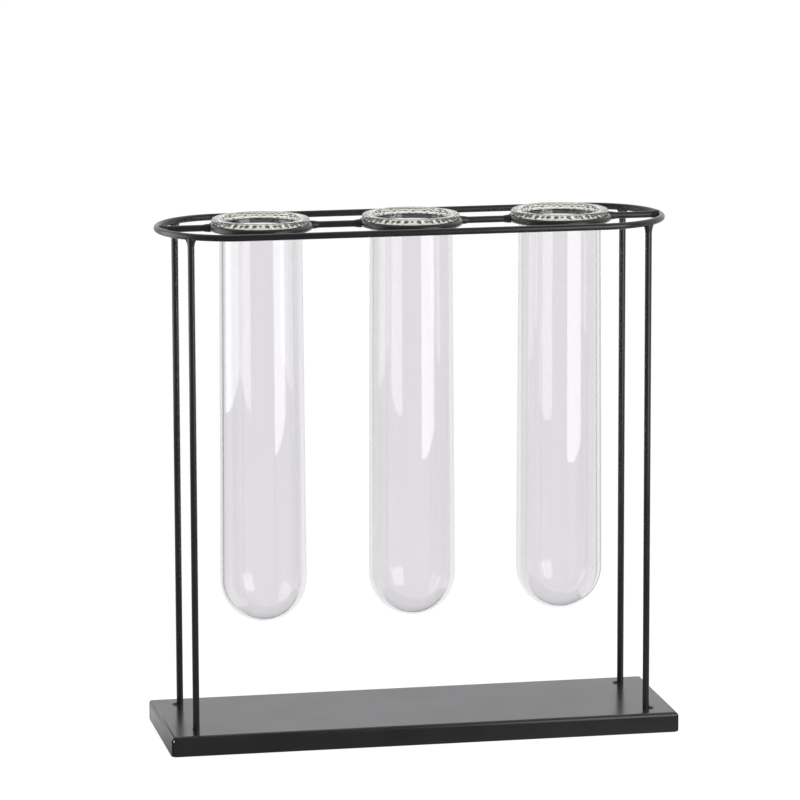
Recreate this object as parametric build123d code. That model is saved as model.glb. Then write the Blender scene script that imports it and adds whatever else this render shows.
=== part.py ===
from build123d import *
import os
from math import atan2, degrees, sqrt

# Test tube vase: three glass tubes hang by their lips in a cage of steel wire,
# which is welded to a foot folded from sheet steel. Millimetres, +Z up, origin
# on the floor under the middle of the foot, +X along the row, -Y to the front.

# Foot, one sheet folded down on four sides
FOOT_LENGTH = 270.0
FOOT_DEPTH = 85.0
FOOT_HEIGHT = 10.5
SHEET = 1.2
BEND_INSIDE = 1.0       # inside radius of the folds
SEAM_GAP = 0.4          # open seam between two flanges at a corner
SEAM_CHAMFER = 0.45     # softened ends of the flanges beside the seam
RELIEF_DIA = 1.8        # hole at the top of a seam that frees the folds
CORNER_CLIP = 1.8       # clipped lower corners of the flanges

# Wire cage
WIRE = 3.5
HOOP_HEIGHT = 270.0     # axis of the hoop above the floor
HOOP_SIDE_INSET = 1.75  # sides of the hoop inside the sides of the foot
UPRIGHT_INSET = 13.0    # axes of the uprights from the axis of the hoop at its ends
RING_PLAY = 1.2         # ring clear of the widest part of a tube, all round
COPE_SHARE = 0.4        # cut end of a wire from the axis of the wire it meets, in wire radii

# Glass tubes
TUBE_LENGTH = 213.5
NECK_DIA = 43.0         # under the lip
BELLY_SWELL = 2.2       # wider by this just above the round end
GLASS = 1.8             # wall
END_GLASS = 1.2         # at the middle of the round end
LIP_THICKNESS = 2.7
LIP_BEARING = 1.8       # lip beyond the bore of its ring, on each side
LIP_SEAT = 0.3          # lip clear of the wire that it rests on
NECK_FILLET = 0.7
MOUTH_FLARE = 2.7       # rounding from the bore out to the lip

# Weld
WELD_DROP = 4.5         # fillet down an upright, below the hoop
WELD_SPREAD = 1.6       # fillet along the hoop, beyond the upright
WELD_WIDTH_SHARE = 0.8  # fillet across, as a share of the wire
WELD_HOLLOW = (0.25, 0.45)  # middle of a fillet's hollow face, as shares of its spread and depth
COLLAR_LENGTH = 3.0     # collar along a spine wire
COLLAR_RISE = 0.5       # collar above the wire at its thick end
COLLAR_CROWN = 0.7      # share of that rise left half-way along
TACK_DIA = 4.4
TACK_HEIGHT = 1.0
TACK_OFFSET = 2.3       # middle of a tack from the axis of its upright

# Worked out from the sizes above
bend_outside = BEND_INSIDE + SHEET
wire_r = WIRE / 2
cope = COPE_SHARE * wire_r
hoop_end_x = FOOT_LENGTH / 2 - wire_r   # the ends of the hoop are flush with the foot
hoop_r = FOOT_DEPTH / 2 - HOOP_SIDE_INSET - wire_r
hoop_arc_x = hoop_end_x - hoop_r
upright_x = hoop_end_x - UPRIGHT_INSET
upright_y = sqrt(hoop_r**2 - max(upright_x - hoop_arc_x, 0) ** 2)
neck_r = NECK_DIA / 2
belly_r = neck_r + BELLY_SWELL / 2
ring_bore_r = belly_r + RING_PLAY
ring_r = ring_bore_r + wire_r
ring_pitch = (hoop_end_x + ring_r) / 2  # the four spine wires are of one length
lip_r = LIP_THICKNESS / 2       # the edge of the lip is a full round
lip_round_x = ring_bore_r + LIP_BEARING - lip_r
lip_inside = max(ring_r - lip_round_x, 0)
lip_under = HOOP_HEIGHT + sqrt((wire_r + lip_r + LIP_SEAT) ** 2 - lip_inside**2) - lip_r
lip_top = lip_under + LIP_THICKNESS

SIDES = (("left", -1), ("right", 1))
ENDS = (("front", -1), ("rear", 1))
ROW = (("left", -1), ("centre", 0), ("right", 1))
# Where the tack lies beside the foot of each upright, as a direction on the plate
TACK_SIDE = {"front_left": 90, "front_right": 0, "rear_left": 180, "rear_right": 180}


def folded_foot():
    """A tray, open below: a plate with four flanges, parted at the corners."""
    outside = Pos(Z=FOOT_HEIGHT / 2) * Box(FOOT_LENGTH, FOOT_DEPTH, FOOT_HEIGHT)
    outside = fillet(outside.faces().sort_by(Axis.Z)[-1].edges(), bend_outside)
    room_height = FOOT_HEIGHT - SHEET
    room = Pos(Z=room_height / 2) * Box(FOOT_LENGTH - 2 * SHEET, FOOT_DEPTH - 2 * SHEET, room_height)
    room = fillet(room.faces().sort_by(Axis.Z)[-1].edges(), BEND_INSIDE)
    tray = outside - room

    half = SEAM_GAP / 2
    mouth = half + SEAM_CHAMFER
    reach = 3 * SHEET
    seam_plan = make_face(Polyline(
        (-reach, half), (-mouth - SEAM_CHAMFER, half), (-mouth, mouth), (SHEET, mouth),
        (SHEET, -mouth), (-mouth, -mouth), (-mouth - SEAM_CHAMFER, -half), (-reach, -half), close=True))
    fold_line = FOOT_HEIGHT - bend_outside
    seam = extrude(seam_plan, fold_line)
    relief = Pos(Z=fold_line) * Rot(Y=90) * Cylinder(RELIEF_DIA / 2, 2 * reach)
    for _, along in SIDES:
        for _, across in ENDS:
            corner = Pos(along * FOOT_LENGTH / 2, across * FOOT_DEPTH / 2)
            tray -= corner * Rot(Z=degrees(atan2(across, along))) * (seam + relief)
            clip = Plane(
                origin=(along * (FOOT_LENGTH / 2 - CORNER_CLIP), across * FOOT_DEPTH / 2, 0),
                z_dir=(along, across, -1))
            tray -= clip * Box(4 * CORNER_CLIP, 4 * CORNER_CLIP, 2 * CORNER_CLIP,
                               align=(Align.CENTER, Align.CENTER, Align.MIN))
    return tray


def wire_hoop():
    """The oval hoop, a round wire along two straights and two half circles."""
    left, right = -hoop_arc_x, hoop_arc_x
    path = Wire([
        Line((0, -hoop_r), (right, -hoop_r)),
        ThreePointArc((right, -hoop_r), (hoop_end_x, 0), (right, hoop_r)),
        Line((right, hoop_r), (left, hoop_r)),
        ThreePointArc((left, hoop_r), (-hoop_end_x, 0), (left, -hoop_r)),
        Line((left, -hoop_r), (0, -hoop_r))])
    section = Plane(origin=(0, -hoop_r, 0), z_dir=(1, 0, 0)) * Circle(wire_r)
    return Pos(Z=HOOP_HEIGHT) * sweep(section, path)


def upright(across, along, hoop):
    """A straight wire that stands on the plate, its top shaped to the hoop."""
    length = HOOP_HEIGHT - cope - FOOT_HEIGHT
    rod = Pos(along * upright_x, across * upright_y, FOOT_HEIGHT + length / 2) * Cylinder(wire_r, length)
    return rod - hoop


def spine_wire(start, end, neighbours):
    """A straight wire along the row, both ends shaped to the wires that they meet."""
    length = end - start - 2 * cope
    bar = Pos((start + end) / 2, 0, HOOP_HEIGHT) * Rot(Y=90) * Cylinder(wire_r, length)
    for neighbour in neighbours:
        bar -= neighbour
    return bar


def weld_collar(axis_x, outward, pieces):
    """A bead round the end of a spine wire, cut by the wires that it joins."""
    thick = wire_r + COLLAR_RISE
    length = wire_r + COLLAR_LENGTH
    middle = ((cope + length) / 2, wire_r + COLLAR_CROWN * COLLAR_RISE)
    outline = [
        Line((cope, 0), (cope, thick)),
        ThreePointArc((cope, thick), middle, (length, wire_r)),
        Line((length, wire_r), (length, 0)),
        Line((length, 0), (cope, 0))]
    bead = revolve(make_face(outline), Axis.X)
    bead = Pos(axis_x, 0, HOOP_HEIGHT) * Rot(Z=0 if outward > 0 else 180) * bead
    for piece in pieces:
        bead -= piece
    return bead


def weld_fillets(across, along, rod, hoop):
    """Two fillets in the corners between the top of an upright and the hoop."""
    top = HOOP_HEIGHT - cope
    low = HOOP_HEIGHT - wire_r - WELD_DROP
    wide = wire_r + WELD_SPREAD
    hollow = (wire_r + WELD_HOLLOW[0] * WELD_SPREAD, top - WELD_HOLLOW[1] * (top - low))
    outline = [
        Line((0, low), (wire_r, low)),
        ThreePointArc((wire_r, low), hollow, (wide, top)),
        Line((wide, top), (0, top)),
        Line((0, top), (0, low))]
    horn = revolve(Plane.XZ * make_face(outline), Axis.Z)
    turn = degrees(atan2(across * upright_y, along * (upright_x - hoop_arc_x))) + 90
    slab = Pos(Z=(top + low) / 2) * Rot(Z=turn) * Box(2 * wide, WELD_WIDTH_SHARE * WIRE, top - low)
    return Pos(along * upright_x, across * upright_y) * (horn & slab) - hoop - rod


def foot_tack(across, along, angle, rod):
    """A low round tack of weld on the plate, against the foot of an upright."""
    ball_r = ((TACK_DIA / 2) ** 2 + TACK_HEIGHT**2) / (2 * TACK_HEIGHT)
    ball = Pos(TACK_OFFSET, 0, TACK_HEIGHT - ball_r) * Sphere(ball_r)
    cap = ball & Pos(TACK_OFFSET, 0, TACK_HEIGHT / 2) * Box(TACK_DIA, TACK_DIA, TACK_HEIGHT)
    return Pos(along * upright_x, across * upright_y, FOOT_HEIGHT) * Rot(Z=angle) * cap - rod


def glass_tube():
    """A blown tube: round end, wall widening a little downwards, flared lip with a full-round edge."""
    bore_neck_r, bore_belly_r = neck_r - GLASS, belly_r - GLASS
    round_z = lip_top - TUBE_LENGTH + belly_r
    end = CenterArc((0, round_z), belly_r, -90, 90)
    wall = Line(end @ 1, (neck_r, lip_under - NECK_FILLET))
    throat = CenterArc((neck_r + NECK_FILLET, lip_under - NECK_FILLET), NECK_FILLET, 180, -90)
    seat = Line(throat @ 1, (lip_round_x, lip_under))
    edge = CenterArc((lip_round_x, lip_under + lip_r), lip_r, -90, 180)
    top = Line(edge @ 1, (bore_neck_r + MOUTH_FLARE, lip_top))
    mouth = CenterArc((bore_neck_r + MOUTH_FLARE, lip_top - MOUTH_FLARE), MOUTH_FLARE, 90, 90)
    bore_round_z = round_z - (GLASS - END_GLASS)
    bore = Line(mouth @ 1, (bore_belly_r, bore_round_z))
    bottom = CenterArc((0, bore_round_z), bore_belly_r, 0, -90)
    axis = Line(bottom @ 1, end @ 0)
    outline = [end, wall, throat, seat, edge, top, mouth, bore, bottom, axis]
    return revolve(Plane.XZ * make_face(outline), Axis.Z)


def build():
    """All nodes by name."""
    nodes = {"base_plate": folded_foot()}
    hoop = nodes["top_hoop"] = wire_hoop()

    fillets, tacks = [], []
    for end, across in ENDS:
        for side, along in SIDES:
            place = f"{end}_{side}"
            rod = nodes[f"upright_{place}"] = upright(across, along, hoop)
            fillets += weld_fillets(across, along, rod, hoop).solids()
            tacks += foot_tack(across, along, TACK_SIDE[place], rod).solids()

    rings = {}
    for place, step in ROW:
        rings[place] = Pos(step * ring_pitch, 0, HOOP_HEIGHT) * Torus(ring_r, wire_r)
        nodes[f"holder_ring_{place}"] = rings[place]
        nodes[f"tube_{place}"] = Pos(step * ring_pitch, 0) * glass_tube()

    ring_collars, hoop_collars = [], []
    for side, along in SIDES:
        ring, middle = rings[side], rings["centre"]
        inner, outer = ring_pitch - ring_r, ring_pitch + ring_r
        link_ends, end_ends = (ring_r, inner), (outer, hoop_end_x)
        link = spine_wire(*sorted(along * x for x in link_ends), (middle, ring))
        tail = spine_wire(*sorted(along * x for x in end_ends), (ring, hoop))
        nodes[f"spine_link_{side}"], nodes[f"spine_end_{side}"] = link, tail
        ring_collars.append(weld_collar(along * ring_r, along, (middle, link)))
        ring_collars.append(weld_collar(along * inner, -along, (ring, link)))
        ring_collars.append(weld_collar(along * outer, along, (ring, tail)))
        hoop_collars.append(weld_collar(along * hoop_end_x, -along, (hoop, tail)))

    nodes["upright_top_welds"] = Compound(fillets)
    nodes["foot_tacks"] = Compound(tacks)
    nodes["ring_welds"] = Compound([s for c in ring_collars for s in c.solids()])
    nodes["hoop_end_welds"] = Compound([s for c in hoop_collars for s in c.solids()])
    return nodes


os.makedirs("parts", exist_ok=True)
for name, shape in build().items():
    export_step(shape, f"parts/{name}.step")
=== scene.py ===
import math

import bmesh
import bpy
from mathutils import Matrix, Vector


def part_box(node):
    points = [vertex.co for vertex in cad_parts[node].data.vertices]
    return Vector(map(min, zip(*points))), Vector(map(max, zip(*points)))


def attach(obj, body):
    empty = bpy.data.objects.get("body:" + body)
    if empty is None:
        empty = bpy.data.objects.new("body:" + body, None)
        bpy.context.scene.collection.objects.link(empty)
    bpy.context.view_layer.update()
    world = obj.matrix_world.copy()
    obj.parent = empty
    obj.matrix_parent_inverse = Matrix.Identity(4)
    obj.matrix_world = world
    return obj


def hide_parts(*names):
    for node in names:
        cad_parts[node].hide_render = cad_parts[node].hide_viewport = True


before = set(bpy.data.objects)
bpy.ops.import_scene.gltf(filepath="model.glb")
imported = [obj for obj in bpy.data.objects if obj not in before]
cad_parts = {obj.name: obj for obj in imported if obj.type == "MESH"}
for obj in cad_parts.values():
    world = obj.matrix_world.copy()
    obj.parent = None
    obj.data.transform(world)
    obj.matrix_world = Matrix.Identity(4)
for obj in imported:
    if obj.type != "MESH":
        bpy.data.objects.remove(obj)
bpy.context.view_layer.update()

# Foot
# One sheet of 1.2 mm steel folded down on four sides. The flanges are parted at the
# corners, where a small round relief frees the folds. Satin black powder coat all over.
COAT_DRIFT = 38.0           # slow drift of the coat, in waves per metre
TONE_DRIFT = 0.18           # how far the black drifts, as a share of itself
COAT_PEEL = 700.0           # orange peel, in waves per metre
JOIN = 2e-6                 # corners of CAD triangles that are closer than this are one
FLAT = math.radians(0.2)    # CAD triangles that meet at less than this are one flat face
FOLD_CREASE = 40            # degrees


def tone_between(nodes, links, share, first, second):
    """A colour ramp between two stops, each a position and a colour; gives its colour socket."""
    ramp = nodes.new("ShaderNodeValToRGB")
    for stop, (position, colour) in zip(ramp.color_ramp.elements, (first, second)):
        stop.position = position
        stop.color = (*colour, 1)
    links.new(share, ramp.inputs["Fac"])
    return ramp.outputs["Color"]


def span_to_span(nodes, links, value, span, result):
    """A map from one span of values to another, held at its ends; gives its result socket."""
    made = nodes.new("ShaderNodeMapRange")
    made.inputs["From Min"].default_value, made.inputs["From Max"].default_value = span
    made.inputs["To Min"].default_value, made.inputs["To Max"].default_value = result
    links.new(value, made.inputs["Value"])
    return made.outputs["Result"]


def powder_coat(name, black, sheen, peel):
    """Powder coat: a fine orange peel of the given depth in metres, and a little drift in tone and sheen."""
    coat = bpy.data.materials.new(name)
    coat.use_nodes = True
    nodes, links = coat.node_tree.nodes, coat.node_tree.links
    shader = nodes["Principled BSDF"]
    shader.inputs["Metallic"].default_value = 0.0
    shader.inputs["IOR"].default_value = 1.5
    shader.inputs["Specular IOR Level"].default_value = 0.48
    place = nodes.new("ShaderNodeTexCoord")
    cloud = nodes.new("ShaderNodeTexNoise")
    cloud.inputs["Scale"].default_value = COAT_DRIFT
    cloud.inputs["Detail"].default_value = 4.0
    links.new(place.outputs["Object"], cloud.inputs["Vector"])
    deep, pale = [[share * c for c in black] for share in (1 - TONE_DRIFT, 1 + TONE_DRIFT)]
    tone = tone_between(nodes, links, cloud.outputs["Fac"], (0.32, deep), (0.68, pale))
    links.new(tone, shader.inputs["Base Color"])
    gloss = span_to_span(nodes, links, cloud.outputs["Fac"], (0.3, 0.7), sheen)
    links.new(gloss, shader.inputs["Roughness"])
    skin = nodes.new("ShaderNodeTexNoise")
    skin.inputs["Scale"].default_value = COAT_PEEL
    skin.inputs["Detail"].default_value = 1.0
    links.new(place.outputs["Object"], skin.inputs["Vector"])
    bump = nodes.new("ShaderNodeBump")
    bump.inputs["Strength"].default_value = 1.0
    bump.inputs["Distance"].default_value = peel
    links.new(skin.outputs["Fac"], bump.inputs["Height"])
    links.new(bump.outputs["Normal"], shader.inputs["Normal"])
    return coat


def dressed(mesh, piece, coat, body, slot, *nodes):
    """A finished mesh as a piece that rides on a body and stands for its CAD nodes."""
    mesh.materials.append(coat)
    made = bpy.data.objects.new(piece, mesh)
    bpy.context.scene.collection.objects.link(made)
    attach(made, body)
    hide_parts(*nodes)
    return made


def solid_copy(node, crease):
    """A CAD solid with its triangles joined and its flat faces whole, shaded smooth up to a crease angle."""
    bm = bmesh.new()
    bm.from_mesh(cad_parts[node].data)
    bmesh.ops.remove_doubles(bm, verts=bm.verts, dist=JOIN)
    bmesh.ops.dissolve_limit(bm, angle_limit=FLAT, verts=bm.verts, edges=bm.edges)
    for face in bm.faces:
        face.smooth = True
    for edge in bm.edges:
        edge.smooth = edge.calc_face_angle(math.pi) < math.radians(crease)
    mesh = bpy.data.meshes.new(node)
    bm.to_mesh(mesh)
    bm.free()
    return mesh


foot_coat = powder_coat("satin_black_sheet", (0.014, 0.014, 0.0148), sheen=(0.20, 0.26), peel=0.000012)
foot = dressed(solid_copy("base_plate", FOLD_CREASE), "foot", foot_coat, "frame", "foot_coat", "base_plate")
flats = foot.modifiers.new("flat faces stay flat", "WEIGHTED_NORMAL")
flats.keep_sharp = True
flats.weight = 100

# Uprights
# Four straight lengths of 3.5 mm steel wire that stand on the plate. Each top is cut to
# fit the underside of the hoop and welded there. Satin black powder coat.
UPRIGHT_SIDES = 32
CUT_CREASE = 40             # degrees, at the cut end of a wire
hoop_low, hoop_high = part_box("top_hoop")
WIRE_R = (hoop_high.z - hoop_low.z) / 2
HOOP_Z = (hoop_low.z + hoop_high.z) / 2
HOOP_R = hoop_high.y - WIRE_R
HOOP_ARC_X = hoop_high.x - WIRE_R - HOOP_R
wire_coat = powder_coat("satin_black_wire", (0.012, 0.012, 0.0128), sheen=(0.20, 0.27), peel=0.000003)


def round_wire(bm, sides, matrix):
    """The round section of the wire, lying across the Z axis of the matrix."""
    return bmesh.ops.create_circle(bm, cap_ends=False, radius=WIRE_R, segments=sides, matrix=matrix)["verts"]


def edges_between(verts):
    """The edges that join these vertices to each other."""
    return list({e for v in verts for e in v.link_edges if all(w in verts for w in e.verts)})


def drawn_out(bm, verts, along):
    """Extrudes an open section along a vector and gives the far section."""
    far = bmesh.ops.extrude_edge_only(bm, edges=edges_between(verts))["geom"]
    far = [g for g in far if isinstance(g, bmesh.types.BMVert)]
    bmesh.ops.translate(bm, verts=far, vec=along)
    return far


def finished(bm, name, crease):
    """Closes a modelled bmesh into a mesh: doubles merged, faces outwards, smooth up to a crease angle."""
    bmesh.ops.remove_doubles(bm, verts=bm.verts, dist=1e-6)
    bmesh.ops.recalc_face_normals(bm, faces=bm.faces)
    for face in bm.faces:
        face.smooth = True
    for edge in bm.edges:
        edge.smooth = not edge.is_manifold or edge.calc_face_angle() < math.radians(crease)
    mesh = bpy.data.meshes.new(name)
    bm.to_mesh(mesh)
    bm.free()
    return mesh


for upright in ("front_left", "front_right", "rear_left", "rear_right"):
    low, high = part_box(f"upright_{upright}")
    axis = (low + high) / 2
    bm = bmesh.new()
    bottom = round_wire(bm, UPRIGHT_SIDES, Matrix.Translation((axis.x, axis.y, low.z)))
    top = drawn_out(bm, bottom, Vector((0, 0, high.z - low.z)))
    bmesh.ops.contextual_create(bm, geom=bottom)
    bmesh.ops.contextual_create(bm, geom=top)
    for v in top:
        off = math.hypot(abs(v.co.x) - HOOP_ARC_X, v.co.y) - HOOP_R
        v.co.z = min(v.co.z, HOOP_Z - math.sqrt(max(WIRE_R**2 - off**2, 0)))
    rod = finished(bm, f"upright_{upright}", CUT_CREASE)
    dressed(rod, f"rod_{upright}", wire_coat, "frame", "wire_coat", f"upright_{upright}")

# Hoop
# One 3.5 mm wire bent to a long oval, two straights and two half circles, butt-welded and
# ground smooth. The four uprights carry it. Satin black powder coat.
BENT_WIRE_SIDES = 24
HALF_HOOP_STEPS = 72
BENT_CREASE = 60            # degrees, more than any angle on a bent wire
bm = bmesh.new()
quarter = Matrix.Rotation(math.radians(90), 4, "Y")
section = round_wire(bm, BENT_WIRE_SIDES, Matrix.Translation((HOOP_ARC_X, -HOOP_R, HOOP_Z)) @ quarter)
for side in (1, -1):
    turned = bmesh.ops.spin(bm, geom=section + edges_between(section), cent=(side * HOOP_ARC_X, 0, HOOP_Z),
                            axis=(0, 0, 1), angle=math.pi, steps=HALF_HOOP_STEPS, use_merge=False)
    section = [g for g in turned["geom_last"] if isinstance(g, bmesh.types.BMVert)]
    section = drawn_out(bm, section, Vector((-side * 2 * HOOP_ARC_X, 0, 0)))
dressed(finished(bm, "top_hoop", BENT_CREASE), "hoop", wire_coat, "frame", "wire_coat", "top_hoop")

# Rings
# Three rings of the same wire, one for each tube. Each is butt-welded, and a tube hangs
# in it by its lip. Satin black powder coat.
PLACES = ("left", "centre", "right")
RING_STEPS = 96
for place in PLACES:
    low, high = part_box(f"holder_ring_{place}")
    middle = (low + high) / 2
    ring_r = (high.x - low.x) / 2 - WIRE_R
    bm = bmesh.new()
    start = Matrix.Translation((middle.x, middle.y - ring_r, middle.z))
    section = round_wire(bm, BENT_WIRE_SIDES, start @ quarter)
    bmesh.ops.spin(bm, geom=section + edges_between(section), cent=middle, axis=(0, 0, 1), angle=2 * math.pi,
                   steps=RING_STEPS, use_merge=True)
    ring = finished(bm, f"holder_ring_{place}", BENT_CREASE)
    dressed(ring, f"ring_{place}", wire_coat, "frame", "wire_coat", f"holder_ring_{place}")

# Spine
# Four short lengths of wire in line, which tie the rings to each other and to the ends
# of the hoop. Their ends are cut to the round of the wires that they meet.
for bar in ("end_left", "link_left", "link_right", "end_right"):
    dressed(solid_copy(f"spine_{bar}", CUT_CREASE), f"spine_wire_{bar}", wire_coat, "frame", "wire_coat",
            f"spine_{bar}")

# Welds
# Fillets under the hoop at each upright, collars round the ends of the spine wires and
# low tacks at the feet of the uprights. All are under the same coat, which softens them.
WELD_CREASE = 50            # degrees
WELD_PIECES = {"upright_top_welds": "hoop_to_upright_welds", "ring_welds": "ring_welds",
               "hoop_end_welds": "hoop_end_welds", "foot_tacks": "plate_tacks"}
weld_coat = powder_coat("satin_black_weld", (0.012, 0.012, 0.0128), sheen=(0.28, 0.36), peel=0.000012)
for node, piece in WELD_PIECES.items():
    dressed(solid_copy(node, WELD_CREASE), piece, weld_coat, "frame", "wire_coat", node)

# Tubes
# Three blown tubes of clear glass, 1.8 mm thick, with a thinner round end and a flared lip
# whose edge is fire-polished to a full round, with fine flutes inside the mouth. Each hangs
# loose in its ring and lifts out.
GLASS, END_GLASS = 0.0018, 0.0012
NECK_R, BELLY_R = 0.0215, 0.0226
LIP_T, NECK_FILLET, MOUTH_FLARE = 0.0027, 0.0007, 0.0027
FLUTES, FLUTE_DEPTH, FLUTE_STEPS = 40, 0.0008, 12
FLUTE_WAVES = ((1.0, 0.28, 0), (0.625, 0.22, 2))    # each: share of the count, share of the depth, start
WALL_END = 0.0015           # last stretch at each end of a straight wall
DRAW_LINES = (160, 160, 3)  # lines from drawing, in waves per metre: fine around the tube, long down it
GLASS_CREASE = 60           # degrees, more than any angle on the glass


def mixed(nodes, links, share, first, second):
    """A mix of two shaders; gives its shader socket."""
    made = nodes.new("ShaderNodeMixShader")
    for socket, source in zip(made.inputs, (share, first, second)):
        links.new(source, socket)
    return made.outputs["Shader"]


def clear_glass(name, deep, pale, clarity):
    """Soda glass: faint lines from drawing between two tints, a green cast in depth, and no dark shadow."""
    glass = bpy.data.materials.new(name)
    glass.use_nodes = True
    nodes, links = glass.node_tree.nodes, glass.node_tree.links
    out = nodes["Material Output"]
    shader = nodes["Principled BSDF"]
    shader.inputs["Roughness"].default_value = 0.0
    shader.inputs["IOR"].default_value = 1.5
    shader.inputs["Transmission Weight"].default_value = clarity
    place = nodes.new("ShaderNodeTexCoord")
    stretch = nodes.new("ShaderNodeMapping")
    stretch.inputs["Scale"].default_value = DRAW_LINES
    links.new(place.outputs["Object"], stretch.inputs["Vector"])
    lines = nodes.new("ShaderNodeTexNoise")
    lines.inputs["Scale"].default_value = 1.0
    lines.inputs["Detail"].default_value = 2.0
    links.new(stretch.outputs["Vector"], lines.inputs["Vector"])
    tint = tone_between(nodes, links, lines.outputs["Fac"], (0.35, deep), (0.65, pale))
    links.new(tint, shader.inputs["Base Color"])
    path = nodes.new("ShaderNodeLightPath")
    clear = nodes.new("ShaderNodeBsdfTransparent")
    clear.inputs["Color"].default_value = (0.93, 0.94, 0.93, 1)
    shadow = path.outputs["Is Shadow Ray"]
    surface = mixed(nodes, links, shadow, shader.outputs["BSDF"], clear.outputs["BSDF"])
    links.new(surface, out.inputs["Surface"])
    cast = nodes.new("ShaderNodeVolumeAbsorption")
    cast.inputs["Color"].default_value = (0.72, 0.84, 0.62, 1)
    cast.inputs["Density"].default_value = 6.0
    links.new(cast.outputs["Volume"], out.inputs["Volume"])
    return glass


def line_to(bm, start, x, z):
    """Draws the outline on to a point of the XZ plane."""
    made = bmesh.ops.extrude_vert_indiv(bm, verts=[start])["verts"][0]
    made.co = (x, 0, z)
    return made


def wall_to(bm, start, x, z):
    """A straight wall, with a point close to each end so that it shades flat along its length."""
    a, b = start.co.copy(), Vector((x, 0, z))
    step = (b - a).normalized() * WALL_END
    for point in (a + step, b - step, b):
        start = line_to(bm, start, point.x, point.z)
    return start


def arc_to(bm, start, x, z, angle, steps):
    """Draws the outline on round a centre, anticlockwise for a positive angle."""
    made = bmesh.ops.spin(bm, geom=[start], cent=(x, 0, z), axis=(0, -1, 0), angle=math.radians(angle),
                          steps=steps)
    return next(g for g in made["geom_last"] if isinstance(g, bmesh.types.BMVert))


wall_glass = clear_glass("clear_blown_glass", (0.863, 0.851, 0.869), (0.871, 0.859, 0.877), clarity=1.0)
lip_glass = clear_glass("fire_polished_lip", (0.96, 0.965, 0.885), (0.99, 0.99, 0.94), clarity=0.90)
low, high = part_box("tube_centre")
lip_top, lip_r = high.z, LIP_T / 2
lip_under = lip_top - LIP_T
lip_x = (high.x - low.x) / 2 - lip_r
round_z = low.z + BELLY_R
bore_round_z = round_z - GLASS + END_GLASS
bore_r = NECK_R - GLASS
mouth_r = bore_r + MOUTH_FLARE
bm = bmesh.new()
point = bm.verts.new((0, 0, low.z))
point = arc_to(bm, point, 0, round_z, 90, steps=32)
point = wall_to(bm, point, NECK_R, lip_under - NECK_FILLET)
point = arc_to(bm, point, NECK_R + NECK_FILLET, lip_under - NECK_FILLET, -90, steps=8)
point = line_to(bm, point, lip_x, lip_under)
point = arc_to(bm, point, lip_x, lip_under + lip_r, 180, steps=20)
point = line_to(bm, point, mouth_r, lip_top)
point = arc_to(bm, point, mouth_r, lip_top - MOUTH_FLARE, 90, steps=12)
point = wall_to(bm, point, BELLY_R - GLASS, bore_round_z)
arc_to(bm, point, 0, bore_round_z, -90, steps=32)
bmesh.ops.spin(bm, geom=bm.verts[:] + bm.edges[:], cent=(0, 0, 0), axis=(0, 0, 1), angle=2 * math.pi,
               steps=FLUTES * FLUTE_STEPS, use_merge=True)
for v in bm.verts:
    turn, out = math.atan2(v.co.y, v.co.x), math.hypot(v.co.x, v.co.y)
    wave = 0.5 + sum(tall * math.cos(share * FLUTES * turn + start) for share, tall, start in FLUTE_WAVES)
    drop = (lip_top - v.co.z) / MOUTH_FLARE
    if 0.001 < drop < 0.999 and out < mouth_r:
        swell = 1 + FLUTE_DEPTH * wave * math.sin(math.pi * drop) ** 2 / out
        v.co.x, v.co.y = v.co.x * swell, v.co.y * swell
for face in bm.faces:
    face.material_index = 1 if face.calc_center_median().z > lip_under else 0
blown = finished(bm, "tube", GLASS_CREASE)
for place in PLACES:
    low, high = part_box(f"tube_{place}")
    tube = blown.copy()
    tube.name = f"tube_{place}"
    tube.transform(Matrix.Translation(((low.x + high.x) / 2, (low.y + high.y) / 2, 0)))
    dressed(tube, f"glass_tube_{place}", wall_glass, f"tube_{place}", "tube_glass", f"tube_{place}")
    tube.materials.append(lip_glass)

# Floor
# A wide sheet of white paper under the object, which keeps its shadow. Seen through the glass,
# the paper behind the object is dusky at the left, which draws a dark line along a tube's edge.
# Mirrored in the coat and the glass, it is bright behind the object and dim in front of it.
toward, across = Vector((-0.189, -0.982, 0)), Vector((0.982, -0.189, 0))    # to the camera, and to its right
PAPER_R, PAPER_Z = 4.0, -0.00005
PAPER_GLOW, PAPER_DUSK = 0.82, 0.40


def worked(nodes, links, operation, first, second, clamp=False):
    """A sum on two sockets or plain numbers; gives its value socket."""
    made = nodes.new("ShaderNodeMath")
    made.operation, made.use_clamp = operation, clamp
    for socket, source in zip(made.inputs, (first, second)):
        if isinstance(source, float):
            socket.default_value = source
        else:
            links.new(source, socket)
    return made.outputs["Value"]


def distance_along(nodes, links, place, direction):
    """How far a place, or a view of the surround, lies along a direction; gives its value socket."""
    made = nodes.new("ShaderNodeVectorMath")
    made.operation = "DOT_PRODUCT"
    made.inputs[1].default_value = direction
    links.new(place, made.inputs[0])
    return made.outputs["Value"]


def seen_and_mirrored(nodes, links, path):
    """Two switches: seen straight or through the glass, and seen in a mirror image."""
    through = path.outputs["Is Transmission Ray"]
    seen = worked(nodes, links, "MAXIMUM", path.outputs["Is Camera Ray"], through)
    return seen, worked(nodes, links, "SUBTRACT", path.outputs["Is Glossy Ray"], through, clamp=True)


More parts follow.
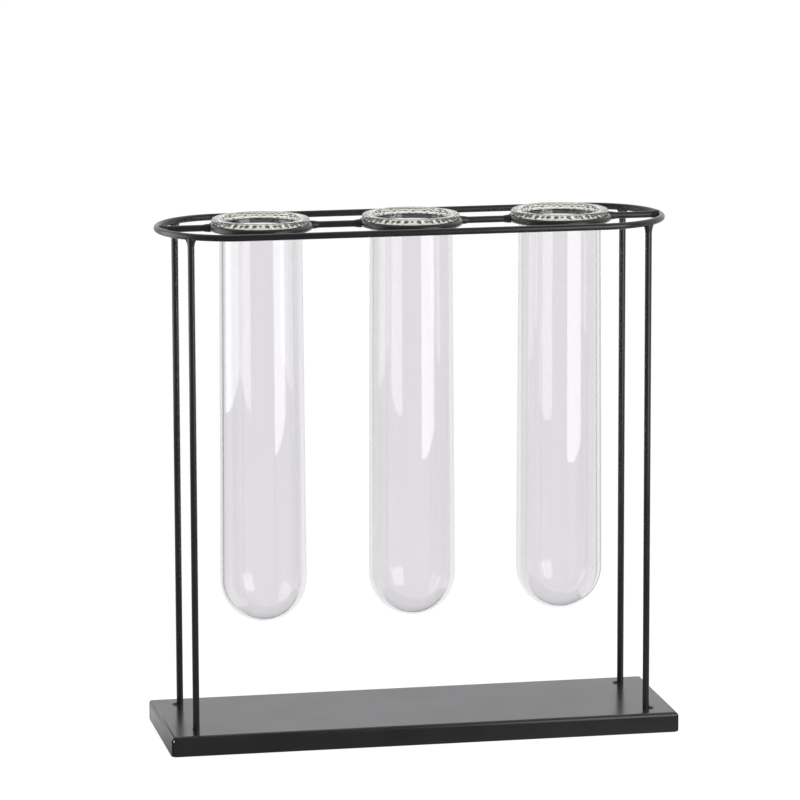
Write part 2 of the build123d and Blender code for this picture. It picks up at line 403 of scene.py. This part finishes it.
bm = bmesh.new()
bmesh.ops.create_circle(bm, cap_ends=True, radius=PAPER_R, segments=96,
                        matrix=Matrix.Translation((0, 0, PAPER_Z)))
floor_mesh = bpy.data.meshes.new("floor")
bm.to_mesh(floor_mesh)
bm.free()
floor = bpy.data.objects.new("floor", floor_mesh)
bpy.context.scene.collection.objects.link(floor)
paper = bpy.data.materials.new("white_paper")
paper.use_nodes = True
nodes, links = paper.node_tree.nodes, paper.node_tree.links
nodes.remove(nodes["Principled BSDF"])
path = nodes.new("ShaderNodeLightPath")
seen, mirrored = seen_and_mirrored(nodes, links, path)
spot = nodes.new("ShaderNodeTexCoord").outputs["Object"]
near = distance_along(nodes, links, spot, toward)
slant = distance_along(nodes, links, spot, (across - 0.6 * toward).normalized())
dusk = span_to_span(nodes, links, slant, (-0.17, -0.04), (PAPER_DUSK, PAPER_GLOW))
ahead = span_to_span(nodes, links, near, (-0.12, -0.04), (0.0, 1.0))
whole = worked(nodes, links, "MAXIMUM", path.outputs["Is Camera Ray"], ahead)
plain = worked(nodes, links, "MULTIPLY", whole, PAPER_GLOW)
glow = nodes.new("ShaderNodeEmission")
links.new(worked(nodes, links, "MAXIMUM", plain, dusk), glow.inputs["Strength"])
soft = nodes.new("ShaderNodeBsdfDiffuse")
soft.inputs["Color"].default_value = (0.35, 0.35, 0.35, 1)
shown = nodes.new("ShaderNodeAddShader")
links.new(soft.outputs["BSDF"], shown.inputs[0])
links.new(glow.outputs["Emission"], shown.inputs[1])
lit = nodes.new("ShaderNodeBsdfDiffuse")
lit.inputs["Color"].default_value = (0.8, 0.8, 0.8, 1)
straight = mixed(nodes, links, seen, lit.outputs["BSDF"], shown.outputs["Shader"])
image = nodes.new("ShaderNodeEmission")
links.new(span_to_span(nodes, links, near, (-0.02, 0.06), (0.78, 0.30)), image.inputs["Strength"])
links.new(mixed(nodes, links, mirrored, straight, image.outputs["Emission"]),
          nodes["Material Output"].inputs["Surface"])
floor_mesh.materials.append(paper)

# Surround
# An even white room: plain light on the object, and white to the camera and through the glass.
# Mirrored in the coat and the glass, it is bright behind the object and dim in front of it.
world = bpy.data.worlds.new("white_surround")
bpy.context.scene.world = world
world.use_nodes = True
nodes, links = world.node_tree.nodes, world.node_tree.links
dim = nodes["Background"]
dim.inputs["Color"].default_value = (1, 1, 1, 1)
dim.inputs["Strength"].default_value = 0.55
white = nodes.new("ShaderNodeBackground")
white.inputs["Color"].default_value = (1, 1, 1, 1)
white.inputs["Strength"].default_value = 1.0
image = nodes.new("ShaderNodeBackground")
image.inputs["Color"].default_value = (0.99, 0.975, 1.0, 1)
seen, mirrored = seen_and_mirrored(nodes, links, nodes.new("ShaderNodeLightPath"))
view = nodes.new("ShaderNodeTexCoord").outputs["Generated"]
near = distance_along(nodes, links, view, toward)
links.new(span_to_span(nodes, links, near, (-0.30, 0.40), (1.0, 0.25)), image.inputs["Strength"])
straight = mixed(nodes, links, seen, dim.outputs["Background"], white.outputs["Background"])
links.new(mixed(nodes, links, mirrored, straight, image.outputs["Background"]),
          nodes["World Output"].inputs["Surface"])

# Panels
# Two tall soft panels, one near each side of the object, which make the upright streaks on
# the glass. They aren't seen straight through a tube, so its outline shows from behind too.
# Each has its two ends on the floor, along toward and across, its lower and upper edge, and its level.
for name, start, end, bottom, top, level in (
        ("panel_right", (0.490, 0.260), (0.277, 0.594), 0.050, 0.63, 2.9),
        ("panel_left", (-0.060, -0.263), (0.184, -0.396), 0.140, 0.40, 2.1)):
    one, two = [toward * p[0] + across * p[1] for p in (start, end)]
    wide, tall = (two - one).length, top - bottom
    lamp = bpy.data.lights.new(name, "AREA")
    lamp.shape = "RECTANGLE"
    lamp.size, lamp.size_y = wide, tall
    lamp.energy = level * math.pi * wide * tall
    lamp.use_nodes = True
    nodes, links = lamp.node_tree.nodes, lamp.node_tree.links
    path = nodes.new("ShaderNodeLightPath")
    through = worked(nodes, links, "GREATER_THAN", path.outputs["Transmission Depth"], 1.5)
    mirrored = worked(nodes, links, "GREATER_THAN", path.outputs["Glossy Depth"], 0.5)
    hidden = worked(nodes, links, "SUBTRACT", through, mirrored, clamp=True)
    links.new(worked(nodes, links, "SUBTRACT", 1.0, hidden), nodes["Emission"].inputs["Strength"])
    panel = bpy.data.objects.new(name, lamp)
    panel.location = (one + two) / 2 + Vector((0, 0, (bottom + top) / 2))
    facing = (two - one).cross(Vector((0, 0, 1)))
    facing *= -1 if facing.dot(panel.location) > 0 else 1
    panel.rotation_euler = facing.to_track_quat("-Z", "Y").to_euler()
    panel.visible_camera = False
    bpy.context.scene.collection.objects.link(panel)

# Camera
# A long lens from the front left, a little above the hoop, fitted to the foot's corners,
# the hoop, the rods and the tubes.
lens = bpy.data.cameras.new("camera")
lens.sensor_width, lens.lens = 36.0, 220.66
lens.clip_start, lens.clip_end = 0.05, 50.0
camera = bpy.data.objects.new("camera", lens)
camera.location = (-0.483894, -2.484088, 0.638747)
camera.rotation_euler = [math.radians(a) for a in (79.6272, 0.1833, -10.9204)]
bpy.context.scene.collection.objects.link(camera)
bpy.context.scene.camera = camera
bpy.context.scene.view_settings.view_transform = "Standard"
